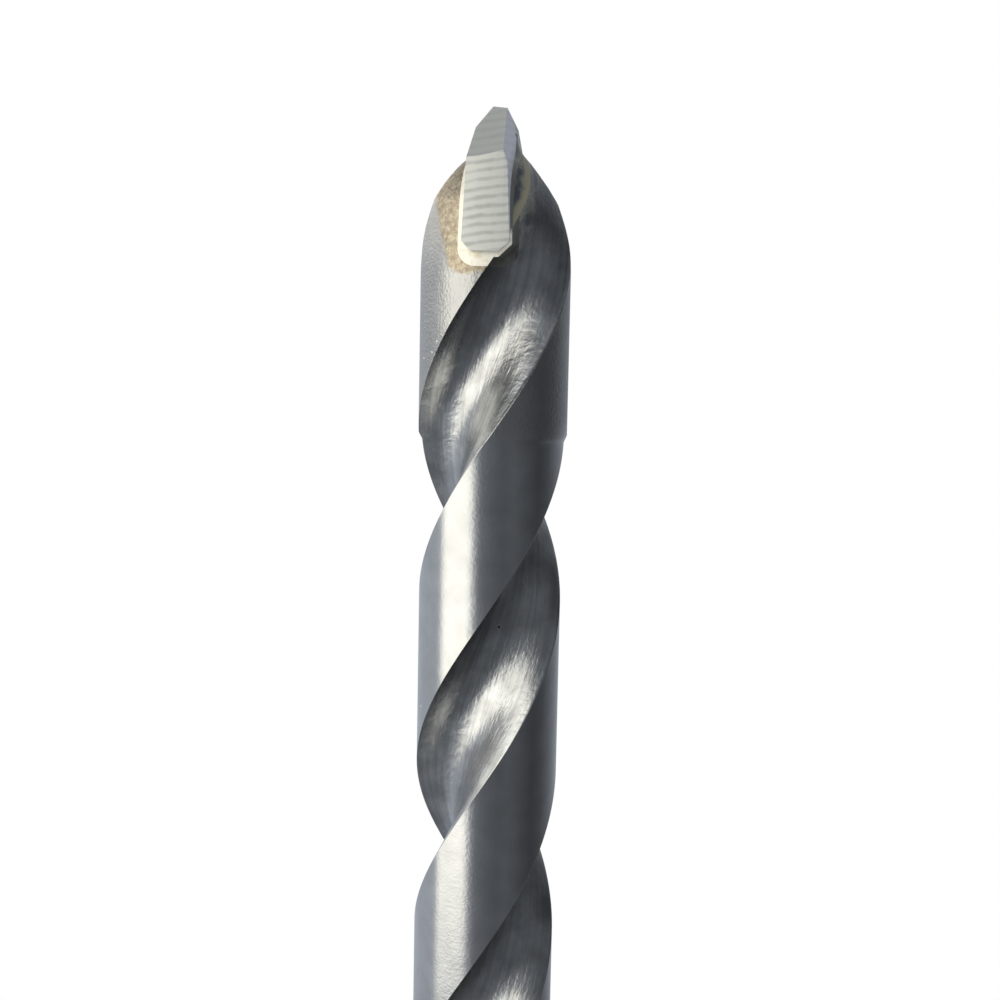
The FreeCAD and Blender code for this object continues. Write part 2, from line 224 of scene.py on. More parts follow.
def gridMesh(name, points, capLow, capHigh):
    # closed tube of quads, wrapped round, with a fan of triangles at each end; faces point outwards
    rows, columns = points.shape[:2]
    index = np.arange(rows * columns).reshape(rows, columns)
    right = np.roll(index, -1, axis=1)
    quads = np.stack([index[:-1], right[:-1], right[1:], index[1:]], -1).reshape(-1, 4)
    low, high = rows * columns, rows * columns + 1
    fanLow = np.stack([np.full(columns, low), right[0], index[0]], -1)
    fanHigh = np.stack([np.full(columns, high), index[-1], right[-1]], -1)
    mesh = bpy.data.meshes.new(name)
    vertices = np.vstack([points.reshape(-1, 3), [capLow], [capHigh]]) * mm
    mesh.from_pydata(vertices.tolist(), [], quads.tolist() + fanLow.tolist() + fanHigh.tolist())
    return mesh


points, inFlute, across, height, fromSteep = drillSurface(drillSteel)
topHeight = points[-1, 0, 2]
steelMesh = gridMesh("drillSteel", points, (0, 0, 0), (0, 0, topHeight))

# the flute's faces take the milled finish; face corners carry millimetres across the section
# and along the helix, for marks that follow it
faceFlute = (inFlute & np.roll(inFlute, -1, axis=1))[:-1] & (height[:-1] > drillSteel["fluteStart"])
materialIndex = np.zeros(len(steelMesh.polygons), dtype=np.int32)
materialIndex[:faceFlute.size] = faceFlute.reshape(-1)
steelMesh.polygons.foreach_set("material_index", materialIndex)
meanRadius = drillSteel["bodyRadius"] * drillSteel["meanRadius"]
helixStretch = math.hypot(1, 2 * math.pi * meanRadius / drillSteel["lead"])
alongMm = np.broadcast_to(height * helixStretch, across.shape)
nextAcross = np.roll(across, -1, axis=1)
nextAcross = np.where(nextAcross < across, across, nextAcross)
nextSteep = np.roll(fromSteep, -1, axis=1)


def cornerMap(mesh, name, u, nextU, v):
    # a UV map of the quads: u at their left and right columns, v by row
    corners = np.stack([
        np.stack([u[:-1], v[:-1]], -1), np.stack([nextU[:-1], v[:-1]], -1),
        np.stack([nextU[1:], v[1:]], -1), np.stack([u[1:], v[1:]], -1),
    ], 2)
    uv = np.zeros((len(mesh.loops), 2))
    uv[:corners.size // 2] = corners.reshape(-1, 2)
    mesh.uv_layers.new(name=name).data.foreach_set("uv", uv.reshape(-1))


cornerMap(steelMesh, "alongFlute", across, nextAcross, alongMm)
cornerMap(steelMesh, "fromSteepEdge", fromSteep, nextSteep, np.broadcast_to(height, across.shape))
print("steel surface worked out")


def slotCutterMesh(d):
    # a bar along Y with the slot's section: straight walls and round lower corners
    turns = np.linspace(0, math.pi / 2, d["slotSteps"] + 1)
    r = d["slotCorner"]
    left, right, floor, top = d["slotLeft"], d["slotRight"], d["slotFloor"], topHeight + d["cutterOver"]
    lowRight = np.stack([right - r + r * np.sin(turns), floor + r - r * np.cos(turns)], 1)
    lowLeft = np.stack([left + r - r * np.cos(turns), floor + r - r * np.sin(turns)], 1)
    section = np.vstack([lowRight, [[right, top], [left, top]], lowLeft])
    count = len(section)
    near = np.column_stack([section[:, 0], np.full(count, -d["cutterReach"]), section[:, 1]])
    far = near + [0, 2 * d["cutterReach"], 0]
    ring = np.arange(count)
    nextRing = np.roll(ring, -1)
    sides = np.stack([ring, nextRing, nextRing + count, ring + count], 1)
    mesh = bpy.data.meshes.new("slotCutter")
    faces = [ring.tolist()] + [(ring[::-1] + count).tolist()] + [s[::-1].tolist() for s in sides]
    mesh.from_pydata((np.vstack([near, far]) * mm).tolist(), [], faces)
    shape = bmesh.new()
    shape.from_mesh(mesh)
    bmesh.ops.recalc_face_normals(shape, faces=shape.faces)
    shape.to_mesh(mesh)
    shape.free()
    return mesh


brazingHeat = {
    "slotHalf": 1.42, "slotLow": 112.1,      # the stain keeps its distance from the slot's walls, mm
    "stainReach": 0.72, "stainWiden": 0.26, "stainFade": 0.25,   # wider by 0.26 mm a mm of height
    "stain": "#a59683", "stainPale": "#d3c8ae", "stainGrain": 0.24,
    # the dark colour ahead of the plate is oxide from the brazing heat, darkened further as painted shade
    "scaleAndShade": "#8d9096", "flux": "#96937f", "fluxMetal": 0.3,
    "patchSize": 1.1, "patchReach": (4.2, 1.68), "patchStrength": 0.75,
    "fluxWander": 1200.0,                    # waves a metre along the flux, about 0.8 mm each
    "fluxRagged": 0.7, "fluxWidth": (1.0, 0.6), "fluxRise": 0.3, "grain": 0.5,
    "darkHead": (112.6, 113.6),              # heights between which flux and the dark oxide with its painted shade come in, mm
    "scaleAhead": (-0.9, -1.3),              # and across the head
}


def sideOfPlate(tree, place):
    # X counted towards the side that trails the lip, the same on both halves of the head
    split = addNode(tree, "ShaderNodeSeparateXYZ", inputs={"Vector": place})
    half = addNode(tree, "ShaderNodeMath", {"operation": "SIGN"}, {0: split.outputs["Y"]})
    across = addNode(tree, "ShaderNodeMath", {"operation": "MULTIPLY"}, {
        0: split.outputs["X"], 1: half.outputs[0]})
    return across.outputs[0], split.outputs["Z"]


def distanceFromAxis(tree, place):
    # root of (X squared + Y squared)
    split = addNode(tree, "ShaderNodeSeparateXYZ", inputs={"Vector": place})
    flat = addNode(tree, "ShaderNodeCombineXYZ", inputs={"X": split.outputs["X"], "Y": split.outputs["Y"]})
    return addNode(tree, "ShaderNodeVectorMath", {"operation": "LENGTH"}, {
        0: flat.outputs[0]}).outputs["Value"]


def trailingStain(tree, place, heat):
    # how much straw and brown stain shows: a ragged band round the slot on the trailing side
    across, z = sideOfPlate(tree, place)
    beyond = addNode(tree, "ShaderNodeMath", {"operation": "SUBTRACT"}, {
        0: across, 1: heat["slotHalf"] * mm})
    outside = addNode(tree, "ShaderNodeMath", {"operation": "MAXIMUM"}, {0: beyond.outputs[0], 1: 0.0})
    under = addNode(tree, "ShaderNodeMath", {"operation": "SUBTRACT"}, {0: heat["slotLow"] * mm, 1: z})
    lower = addNode(tree, "ShaderNodeMath", {"operation": "MAXIMUM"}, {0: under.outputs[0], 1: 0.0})
    gap = addNode(tree, "ShaderNodeCombineXYZ", inputs={"X": outside.outputs[0], "Y": lower.outputs[0]})
    distance = addNode(tree, "ShaderNodeVectorMath", {"operation": "LENGTH"}, {0: gap.outputs[0]})
    ragged = addNode(tree, "ShaderNodeTexNoise", inputs={
        "Vector": place, "Scale": 1 / (heat["grain"] * mm), "Detail": 4.0, "Roughness": 0.6})
    higher = addNode(tree, "ShaderNodeMath", {"operation": "SUBTRACT"}, {0: z, 1: heat["slotLow"] * mm})
    aboveFloor = addNode(tree, "ShaderNodeMath", {"operation": "MAXIMUM"}, {0: higher.outputs[0], 1: 0.0})
    closer = addNode(tree, "ShaderNodeMath", {"operation": "MULTIPLY_ADD"}, {
        0: aboveFloor.outputs[0], 1: -heat["stainWiden"], 2: distance.outputs["Value"]})
    edge = addNode(tree, "ShaderNodeMath", {"operation": "MULTIPLY_ADD"}, {
        0: ragged.outputs[0], 1: heat["grain"] * mm, 2: closer.outputs[0]})
    reach = heat["stainReach"] + heat["grain"] / 2
    return addNode(tree, "ShaderNodeMapRange", {"interpolation_type": "SMOOTHSTEP"}, {
        "Value": edge.outputs[0], "From Min": reach * mm, "From Max": (reach - heat["stainFade"]) * mm,
        "To Min": 0.0, "To Max": 1.0}).outputs[0]


def leadingScaleAndShade(tree, place, heat):
    # how much dark colour covers the steel ahead of the rake facet: oxide from the brazing heat, darkened
    # further as painted shade
    across, z = sideOfPlate(tree, place)
    ahead = addNode(tree, "ShaderNodeMapRange", inputs={
        "Value": across, "From Min": heat["scaleAhead"][0] * mm, "From Max": heat["scaleAhead"][1] * mm,
        "To Min": 0.0, "To Max": 1.0})
    low, high = heat["darkHead"]
    above = addNode(tree, "ShaderNodeMapRange", {"interpolation_type": "SMOOTHSTEP"}, {
        "Value": z, "From Min": low * mm, "From Max": high * mm})
    return addNode(tree, "ShaderNodeMath", {"operation": "MULTIPLY"}, {
        0: ahead.outputs[0], 1: above.outputs[0]}).outputs[0]


def fluxAlongEdge(tree, place, heat):
    # how much grey flux clings along the flute's steep edge beside the plate, and in patches past it
    edgeMap = addNode(tree, "ShaderNodeUVMap", {"uv_map": "fromSteepEdge"})
    split = addNode(tree, "ShaderNodeSeparateXYZ", inputs={"Vector": edgeMap.outputs["UV"]})
    wander = addNode(tree, "ShaderNodeTexNoise", inputs={
        "Vector": place, "Scale": heat["fluxWander"], "Detail": 4.0})
    spread = addNode(tree, "ShaderNodeMath", {"operation": "MULTIPLY_ADD"}, {
        0: wander.outputs[0], 1: heat["fluxRagged"], 2: split.outputs["X"]})
    near = addNode(tree, "ShaderNodeMapRange", {"interpolation_type": "SMOOTHSTEP"}, {
        "Value": spread.outputs[0], "From Min": heat["fluxWidth"][0], "From Max": heat["fluxWidth"][1],
        "To Min": 0.0, "To Max": 1.0})
    low = heat["darkHead"][0]
    above = addNode(tree, "ShaderNodeMapRange", {"interpolation_type": "SMOOTHSTEP"}, {
        "Value": split.outputs["Y"], "From Min": low, "From Max": low + heat["fluxRise"]})
    blots = addNode(tree, "ShaderNodeTexNoise", inputs={
        "Vector": place, "Scale": 1 / (heat["patchSize"] * mm),
        "Detail": 5.0, "Roughness": 0.6, "Distortion": 0.6})
    blot = addNode(tree, "ShaderNodeMapRange", {"interpolation_type": "SMOOTHSTEP"}, {
        "Value": blots.outputs[0], "From Min": 0.42, "From Max": 0.58, "To Max": heat["patchStrength"]})
    within = addNode(tree, "ShaderNodeMapRange", {"interpolation_type": "SMOOTHSTEP"}, {
        "Value": split.outputs["X"], "From Min": heat["patchReach"][0], "From Max": heat["patchReach"][1],
        "To Min": 0.0, "To Max": 1.0})
    patches = addNode(tree, "ShaderNodeMath", {"operation": "MULTIPLY"}, {
        0: blot.outputs[0], 1: within.outputs[0]})
    clinging = addNode(tree, "ShaderNodeMath", {"operation": "MAXIMUM"}, {
        0: near.outputs[0], 1: patches.outputs[0]})
    return addNode(tree, "ShaderNodeMath", {"operation": "MULTIPLY"}, {
        0: clinging.outputs[0], 1: above.outputs[0]}).outputs[0]


# Knocks in the edges with painted glints, and a pit with painted shade
wearMarksWithPaintedLight = {
    "nickGlints": ((-3.308, -1.968, 107.183), (-2.771, -2.669, 107.516), (-2.474, -2.947, 108.077),
              (-3.235, -1.792, 89.111)),      # small knocks in the edges, mm; their glints are painted as near-white specks
    "nickGlintRadius": 0.07, "nickGlintColour": "#f4f3ee",
    "pits": ((0.724, -1.375, 93.402),),       # one pore in the second flute, the shade inside it painted near-black
    "pitRadius": 0.13, "pitShadeColour": "#1d2024",
}


def nearPoints(tree, place, points, radius):
    # 1 close to one of the points, 0 further from all of them than the radius
    share = 0.0
    for point in points:
        away = addNode(tree, "ShaderNodeVectorMath", {"operation": "DISTANCE"}, {
            0: place, 1: [c * mm for c in point]})
        dot = addNode(tree, "ShaderNodeMapRange", {"interpolation_type": "SMOOTHSTEP"}, {
            "Value": away.outputs["Value"], "From Min": radius * mm, "From Max": radius / 2 * mm,
            "To Min": 0.0, "To Max": 1.0})
        share = addNode(tree, "ShaderNodeMath", {"operation": "MAXIMUM"}, {
            0: share, 1: dot.outputs[0]}).outputs[0]
    return share


groundSteelLook = {
    "colour": "#c3c3c1", "roughness": 0.2, "stainRoughness": 0.5,
    "lineSpacing": 0.12,       # mm between grinding lines; real ones are finer, drawn as coarse as shows
    "lineStretch": 0.03,       # how much less a line changes along itself
    "cloudSize": 1.1,
    "headColour": "#b4b3b0", "headRoughness": 0.3, "headBlend": 1.0,
    "peel": 0.15, "peelDepth": 0.006, "headPeelDepth": 0.03,   # fine pits in mm, deeper on the head
    "lineDepth": 0.003, "stainDepth": 0.03,                    # mm
}


def groundSteel(look, heat):
    # Tool steel, ground round between centres: fine lines run round the bar and spread highlights
    # up and down it. Heat and flux from the brazing leave a brown and straw stain by the plate.
    material, tree = newMaterial("groundToolSteel")
    place = addNode(tree, "ShaderNodeTexCoord").outputs["Object"]
    lineScale = 1 / (look["lineSpacing"] * mm)
    alongScale = lineScale * look["lineStretch"]
    stretched = addNode(tree, "ShaderNodeMapping", inputs={
        "Vector": place, "Scale": (alongScale, alongScale, lineScale)})
    lines = addNode(tree, "ShaderNodeTexNoise", inputs={
        "Vector": stretched.outputs[0], "Scale": 1.0, "Detail": 3.0, "Roughness": 0.65})
    clouds = addNode(tree, "ShaderNodeTexNoise", inputs={
        "Vector": place, "Scale": 1 / (look["cloudSize"] * mm), "Detail": 4.0})
    tone = addNode(tree, "ShaderNodeMapRange", inputs={
        "Value": clouds.outputs[0], "From Min": 0.3, "From Max": 0.7, "To Min": 0.9, "To Max": 1.04})
    z = addNode(tree, "ShaderNodeSeparateXYZ", inputs={"Vector": place}).outputs["Z"]
    onHead = addNode(tree, "ShaderNodeMapRange", {"interpolation_type": "SMOOTHSTEP"}, {
        "Value": z, "From Min": (drillSteel["stepTop"] - drillSteel["stepRamp"]) * mm,
        "From Max": (drillSteel["stepTop"] + look["headBlend"]) * mm})
    bare = addNode(tree, "ShaderNodeMixRGB", inputs={
        "Fac": onHead.outputs[0],
        "Color1": linearColour(look["colour"]), "Color2": linearColour(look["headColour"])})
    steel = addNode(tree, "ShaderNodeMixRGB", {"blend_type": "MULTIPLY"}, {
        "Fac": 1.0, "Color1": bare.outputs[0], "Color2": tone.outputs[0]})
    specks = addNode(tree, "ShaderNodeTexNoise", inputs={
        "Vector": place, "Scale": 1 / (heat["stainGrain"] * mm), "Detail": 4.0, "Roughness": 0.65})
    speckTone = addNode(tree, "ShaderNodeMapRange", inputs={
        "Value": specks.outputs[0], "From Min": 0.38, "From Max": 0.66})
    stainColour = addNode(tree, "ShaderNodeMixRGB", inputs={
        "Fac": speckTone.outputs[0],
        "Color1": linearColour(heat["stain"]), "Color2": linearColour(heat["stainPale"])})
    stained = trailingStain(tree, place, heat)
    warm = addNode(tree, "ShaderNodeMixRGB", inputs={
        "Fac": stained, "Color1": steel.outputs[0], "Color2": stainColour.outputs[0]})
    # the darker steel ahead of the rake facet: oxide with painted shade over it
    scaleAndPaintedShade = leadingScaleAndShade(tree, place, heat)
    dark = addNode(tree, "ShaderNodeMixRGB", inputs={
        "Fac": scaleAndPaintedShade, "Color1": warm.outputs[0], "Color2": linearColour(heat["scaleAndShade"])})
    fluxed = fluxAlongEdge(tree, place, heat)
    colour = addNode(tree, "ShaderNodeMixRGB", inputs={
        "Fac": fluxed, "Color1": dark.outputs[0], "Color2": linearColour(heat["flux"])})
    # knocks in the edges: their glints are painted near-white and lose the metal shine
    paintedNickGlint = nearPoints(tree, place, wearMarksWithPaintedLight["nickGlints"], wearMarksWithPaintedLight["nickGlintRadius"])
    wearWithPaintedLight = addNode(tree, "ShaderNodeMixRGB", inputs={
        "Fac": paintedNickGlint, "Color1": colour.outputs[0], "Color2": linearColour(wearMarksWithPaintedLight["nickGlintColour"])})
    clean = addNode(tree, "ShaderNodeMapRange", inputs={
        "Value": fluxed, "To Min": 1.0, "To Max": heat["fluxMetal"]})
    metal = addNode(tree, "ShaderNodeMath", {"operation": "SUBTRACT", "use_clamp": True}, {
        0: clean.outputs[0], 1: paintedNickGlint})
    dulled = addNode(tree, "ShaderNodeMath", {"operation": "MAXIMUM"}, {0: stained, 1: scaleAndPaintedShade})
    shine = addNode(tree, "ShaderNodeMapRange", inputs={
        "Value": onHead.outputs[0], "To Min": look["roughness"], "To Max": look["headRoughness"]})
    rough = addNode(tree, "ShaderNodeMapRange", inputs={
        "Value": dulled.outputs[0], "To Min": shine.outputs[0], "To Max": look["stainRoughness"]})
    peel = addNode(tree, "ShaderNodeTexNoise", inputs={
        "Vector": place, "Scale": 1 / (look["peel"] * mm), "Detail": 2.0})
    peelDepth = addNode(tree, "ShaderNodeMapRange", inputs={
        "Value": onHead.outputs[0], "To Min": look["peelDepth"], "To Max": look["headPeelDepth"]})
    crustDepth = addNode(tree, "ShaderNodeMath", {"operation": "MULTIPLY"}, {
        0: stained, 1: look["stainDepth"]})
    grooves = addNode(tree, "ShaderNodeMath", {"operation": "MULTIPLY"}, {
        0: lines.outputs[0], 1: look["lineDepth"]})
    pitted = addNode(tree, "ShaderNodeMath", {"operation": "MULTIPLY_ADD"}, {
        0: peel.outputs[0], 1: peelDepth.outputs[0], 2: grooves.outputs[0]})
    relief = addNode(tree, "ShaderNodeMath", {"operation": "MULTIPLY_ADD"}, {
        0: specks.outputs[0], 1: crustDepth.outputs[0], 2: pitted.outputs[0]})
    bump = addNode(tree, "ShaderNodeBump", inputs={"Height": relief.outputs[0], "Distance": 1.0 * mm})
    finishMaterial(tree, {
        "Base Color": wearWithPaintedLight.outputs[0], "Metallic": metal.outputs[0], "Roughness": rough.outputs[0],
        "Normal": bump.outputs[0]})
    return material


milledSteelLook = {
    "colour": "#c9c9c6", "dark": "#aeafb0", "roughness": 0.25,
    "streakWidth": 0.3, "rippleLength": 0.9, "grain": 0.15, "markDepth": 0.016, "cloudSize": 1.5,  # mm
    "streakAlong": 0.12, "rippleAcross": 0.7, "grainStretch": 0.45,   # how fast each changes the other way
    "rippleShare": 1.6, "grainShare": 0.9,                            # depth next to the streaks'
}


def milledSteel(look, heat):
    # The same steel as the flute cutter leaves it: streaks along the helix and a fine grain.
    material, tree = newMaterial("milledToolSteel")
    place = addNode(tree, "ShaderNodeTexCoord").outputs["Object"]
    along = addNode(tree, "ShaderNodeUVMap", {"uv_map": "alongFlute"}).outputs["UV"]
    streakMap = addNode(tree, "ShaderNodeMapping", inputs={
        "Vector": along, "Scale": (1 / look["streakWidth"], look["streakAlong"], 1.0)})
    streaks = addNode(tree, "ShaderNodeTexNoise", inputs={
        "Vector": streakMap.outputs[0], "Scale": 1.0, "Detail": 5.0, "Roughness": 0.6, "Distortion": 0.4})
    rippleMap = addNode(tree, "ShaderNodeMapping", inputs={
        "Vector": along, "Scale": (look["rippleAcross"], 1 / look["rippleLength"], 1.0)})
    ripples = addNode(tree, "ShaderNodeTexNoise", inputs={
        "Vector": rippleMap.outputs[0], "Scale": 1.0, "Detail": 4.0, "Distortion": 1.2})
    streakTone = addNode(tree, "ShaderNodeMapRange", inputs={
        "Value": streaks.outputs[0], "From Min": 0.3, "From Max": 0.62})
    steel = addNode(tree, "ShaderNodeMixRGB", inputs={
        "Fac": streakTone.outputs[0],
        "Color1": linearColour(look["dark"]), "Color2": linearColour(look["colour"])})
    clouds = addNode(tree, "ShaderNodeTexNoise", inputs={
        "Vector": place, "Scale": 1 / (look["cloudSize"] * mm), "Detail": 3.0})
    cloudTone = addNode(tree, "ShaderNodeMapRange", inputs={
        "Value": clouds.outputs[0], "From Min": 0.35, "From Max": 0.65, "To Min": 0.78, "To Max": 1.1})
    clouded = addNode(tree, "ShaderNodeMixRGB", {"blend_type": "MULTIPLY"}, {
        "Fac": 1.0, "Color1": steel.outputs[0], "Color2": cloudTone.outputs[0]})
    fluxed = fluxAlongEdge(tree, place, heat)
    colour = addNode(tree, "ShaderNodeMixRGB", inputs={
        "Fac": fluxed, "Color1": clouded.outputs[0], "Color2": linearColour(heat["flux"])})
    # a pore in the flute: the shade inside it is painted near-black and loses the metal shine
    pitted = nearPoints(tree, place, wearMarksWithPaintedLight["pits"], wearMarksWithPaintedLight["pitRadius"])
    wearWithPaintedLight = addNode(tree, "ShaderNodeMixRGB", inputs={
        "Fac": pitted, "Color1": colour.outputs[0], "Color2": linearColour(wearMarksWithPaintedLight["pitShadeColour"])})
    clean = addNode(tree, "ShaderNodeMapRange", inputs={
        "Value": fluxed, "To Min": 1.0, "To Max": heat["fluxMetal"]})
    metal = addNode(tree, "ShaderNodeMath", {"operation": "SUBTRACT", "use_clamp": True}, {
        0: clean.outputs[0], 1: pitted})
    waves = addNode(tree, "ShaderNodeMath", {"operation": "MULTIPLY_ADD"}, {
        0: ripples.outputs[0], 1: look["rippleShare"], 2: streaks.outputs[0]})
    grainMap = addNode(tree, "ShaderNodeMapping", inputs={
        "Vector": along, "Scale": (1 / look["grain"], look["grainStretch"] / look["grain"], 1.0)})
    grain = addNode(tree, "ShaderNodeTexNoise", inputs={
        "Vector": grainMap.outputs[0], "Scale": 1.0, "Detail": 3.0})
    marks = addNode(tree, "ShaderNodeMath", {"operation": "MULTIPLY_ADD"}, {
        0: grain.outputs[0], 1: look["grainShare"], 2: waves.outputs[0]})
    relief = addNode(tree, "ShaderNodeMath", {"operation": "MULTIPLY"}, {
        0: marks.outputs[0], 1: look["markDepth"]})
    bump = addNode(tree, "ShaderNodeBump", inputs={"Height": relief.outputs[0], "Distance": 1.0 * mm})
    finishMaterial(tree, {
        "Base Color": wearWithPaintedLight.outputs[0], "Metallic": metal.outputs[0], "Roughness": look["roughness"],
        "Normal": bump.outputs[0]})
    return material


carbideLook = {
    "colour": "#a2a7a4", "rake": "#b6bbc5", "stripePale": "#d6d9d2", "stripeDark": "#b4b8b3",
    "roughness": 0.5, "metallic": 0.05,
    "stripePitch": 0.43, "stripeTilt": 8.0, "fadeLength": 0.9,
    "reliefStrength": 0.2, "reliefDepth": 0.012,
    "endFrom": 3.93, "endBlend": 0.04,    # the ends lie further from the axis than this
    "gritScale": 9000.0,                  # grains a metre of pattern, about 0.1 mm each
}


def sinteredCarbide(look):
    # Tungsten carbide, sintered and ground with a diamond wheel: grey with a dull shine. The ends
    # keep flat stripes where the wheel stepped down them.
    material, tree = newMaterial("groundCarbide")
    place = addNode(tree, "ShaderNodeTexCoord").outputs["Object"]
    tilt = addNode(tree, "ShaderNodeMapping", inputs={
        "Vector": place, "Rotation": (0.0, math.radians(look["stripeTilt"]), 0.0)})
    # a wave of bands repeats every 0.314 of its scaled coordinate
    stripes = addNode(tree, "ShaderNodeTexWave", {"bands_direction": "Z"}, {
        "Vector": tilt.outputs[0], "Scale": 0.314 / (look["stripePitch"] * mm),
        "Distortion": 3.0, "Detail": 3.0, "Detail Scale": 0.5})
    fading = addNode(tree, "ShaderNodeTexNoise", inputs={
        "Vector": place, "Scale": 1 / (look["fadeLength"] * mm), "Detail": 2.0})
    faint = addNode(tree, "ShaderNodeMapRange", inputs={
        "Value": fading.outputs[0], "From Min": 0.35, "From Max": 0.65, "To Min": -0.05, "To Max": 0.5})
    line = addNode(tree, "ShaderNodeMath", {"operation": "ADD"}, {
        0: stripes.outputs["Fac"], 1: faint.outputs[0]})
    band = addNode(tree, "ShaderNodeMapRange", inputs={
        "Value": line.outputs[0], "From Min": 0.05, "From Max": 0.9})
    striped = addNode(tree, "ShaderNodeMixRGB", inputs={
        "Fac": band.outputs[0],
        "Color1": linearColour(look["stripeDark"]), "Color2": linearColour(look["stripePale"])})
    fromAxis = distanceFromAxis(tree, place)
    atEnd = addNode(tree, "ShaderNodeMapRange", inputs={
        "Value": fromAxis,
        "From Min": look["endFrom"] * mm, "From Max": (look["endFrom"] + look["endBlend"]) * mm})
    facing = addNode(tree, "ShaderNodeTexCoord").outputs["Normal"]
    facingSplit = addNode(tree, "ShaderNodeSeparateXYZ", inputs={"Vector": facing})
    split = addNode(tree, "ShaderNodeSeparateXYZ", inputs={"Vector": place})
    half = addNode(tree, "ShaderNodeMath", {"operation": "SIGN"}, {0: split.outputs["Y"]})
    ahead = addNode(tree, "ShaderNodeMath", {"operation": "MULTIPLY"}, {
        0: facingSplit.outputs["X"], 1: half.outputs[0]})
    onRake = addNode(tree, "ShaderNodeMapRange", inputs={
        "Value": ahead.outputs[0], "From Min": -0.4, "From Max": -0.7, "To Min": 0.0, "To Max": 1.0})
    sides = addNode(tree, "ShaderNodeMixRGB", inputs={
        "Fac": onRake.outputs[0],
        "Color1": linearColour(look["colour"]), "Color2": linearColour(look["rake"])})
    hint = addNode(tree, "ShaderNodeMapRange", inputs={
        "Value": band.outputs[0], "To Min": 0.92, "To Max": 1.03})
    hinted = addNode(tree, "ShaderNodeMixRGB", {"blend_type": "MULTIPLY"}, {
        "Fac": 1.0, "Color1": sides.outputs[0], "Color2": hint.outputs[0]})
    colour = addNode(tree, "ShaderNodeMixRGB", inputs={
        "Fac": atEnd.outputs[0], "Color1": hinted.outputs[0], "Color2": striped.outputs[0]})
    grain = addNode(tree, "ShaderNodeTexNoise", inputs={
        "Vector": place, "Scale": look["gritScale"], "Detail": 2.0})
    relief = addNode(tree, "ShaderNodeMath", {"operation": "MULTIPLY_ADD"}, {
        0: stripes.outputs["Fac"], 1: atEnd.outputs[0], 2: grain.outputs[0]})
    bump = addNode(tree, "ShaderNodeBump", inputs={
        "Height": relief.outputs[0],
        "Strength": look["reliefStrength"], "Distance": look["reliefDepth"] * mm})
    finishMaterial(tree, {
        "Base Color": colour.outputs[0], "Metallic": look["metallic"], "Roughness": look["roughness"],
        "Normal": bump.outputs[0]})
    return material


brazeLook = {
    "colour": "#fffcec", "dark": "#e8dfc0", "inFlute": "#c0beb3",
    "roughness": 0.4, "metallic": 0.15,
    "grooveDepth": 3.72,    # the seam lies nearer to the axis than this where the flute has cut it
    "grooveBlend": 0.05, "leadingSide": (0.6, 0.3),
    "lumpSize": 0.4, "lumpStrength": 0.6, "lumpDepth": 0.06,
}


def brazeMetal(look):
    # Silver brazing alloy, set as it flowed: pale straw and soft lumps, a little yellower in places.
    # Where the flute opens the seam, the cutter has left it as bright as the steel round it.
    material, tree = newMaterial("brazingAlloy")
    place = addNode(tree, "ShaderNodeTexCoord").outputs["Object"]
    lumps = addNode(tree, "ShaderNodeTexNoise", inputs={
        "Vector": place, "Scale": 1 / (look["lumpSize"] * mm), "Detail": 4.0})
    tone = addNode(tree, "ShaderNodeMapRange", inputs={
        "Value": lumps.outputs[0], "From Min": 0.5, "From Max": 0.72})
    pale = addNode(tree, "ShaderNodeMixRGB", inputs={
        "Fac": tone.outputs[0],
        "Color1": linearColour(look["colour"]), "Color2": linearColour(look["dark"])})
    across, _ = sideOfPlate(tree, place)
    fromAxis = distanceFromAxis(tree, place)
    opened = addNode(tree, "ShaderNodeMapRange", inputs={
        "Value": fromAxis, "From Min": look["grooveDepth"] * mm,
        "From Max": (look["grooveDepth"] - look["grooveBlend"]) * mm, "To Min": 0.0, "To Max": 1.0})
    leading = addNode(tree, "ShaderNodeMapRange", inputs={
        "Value": across, "From Min": look["leadingSide"][0] * mm, "From Max": look["leadingSide"][1] * mm,
        "To Min": 0.0, "To Max": 1.0})
    cutOpen = addNode(tree, "ShaderNodeMath", {"operation": "MULTIPLY"}, {
        0: opened.outputs[0], 1: leading.outputs[0]})
    colour = addNode(tree, "ShaderNodeMixRGB", inputs={
        "Fac": cutOpen.outputs[0], "Color1": pale.outputs[0], "Color2": linearColour(look["inFlute"])})
    bump = addNode(tree, "ShaderNodeBump", inputs={
        "Height": lumps.outputs[0], "Strength": look["lumpStrength"], "Distance": look["lumpDepth"] * mm})
    metal = addNode(tree, "ShaderNodeMapRange", inputs={
        "Value": cutOpen.outputs[0], "To Min": look["metallic"], "To Max": 1.0})
    finishMaterial(tree, {
        "Base Color": colour.outputs[0], "Metallic": metal.outputs[0], "Roughness": look["roughness"],
        "Normal": bump.outputs[0]})
    return material


groundMaterial = groundSteel(groundSteelLook, brazingHeat)
milledMaterial = milledSteel(milledSteelLook, brazingHeat)
steelPiece = meshPiece(
    "drillSteel", steelMesh, [groundMaterial, milledMaterial], "drill_body")
cutter = bpy.data.objects.new("slotCutter", slotCutterMesh(drillSteel))
bpy.context.scene.collection.objects.link(cutter)
cut = steelPiece.modifiers.new("slot", "BOOLEAN")
cut.object = cutter
cut.solver = "EXACT"
slotted = bpy.data.meshes.new_from_object(steelPiece.evaluated_get(bpy.context.evaluated_depsgraph_get()))
steelPiece.modifiers.clear()
steelPiece.data = slotted
slotted.name = "drillSteel"
bpy.data.objects.remove(cutter)
slotted.shade_smooth()
slotted.set_sharp_from_angle(angle=math.radians(drillSteel["sharpFrom"]))
print("steel slotted", len(slotted.polygons))


dressing = {
    "weld": 0.0005,         # mm between points that are one
    "flatWithin": 0.5,      # degrees between faces that are one
    "sharpFrom": 20.0, "plateBevel": 0.03,
}


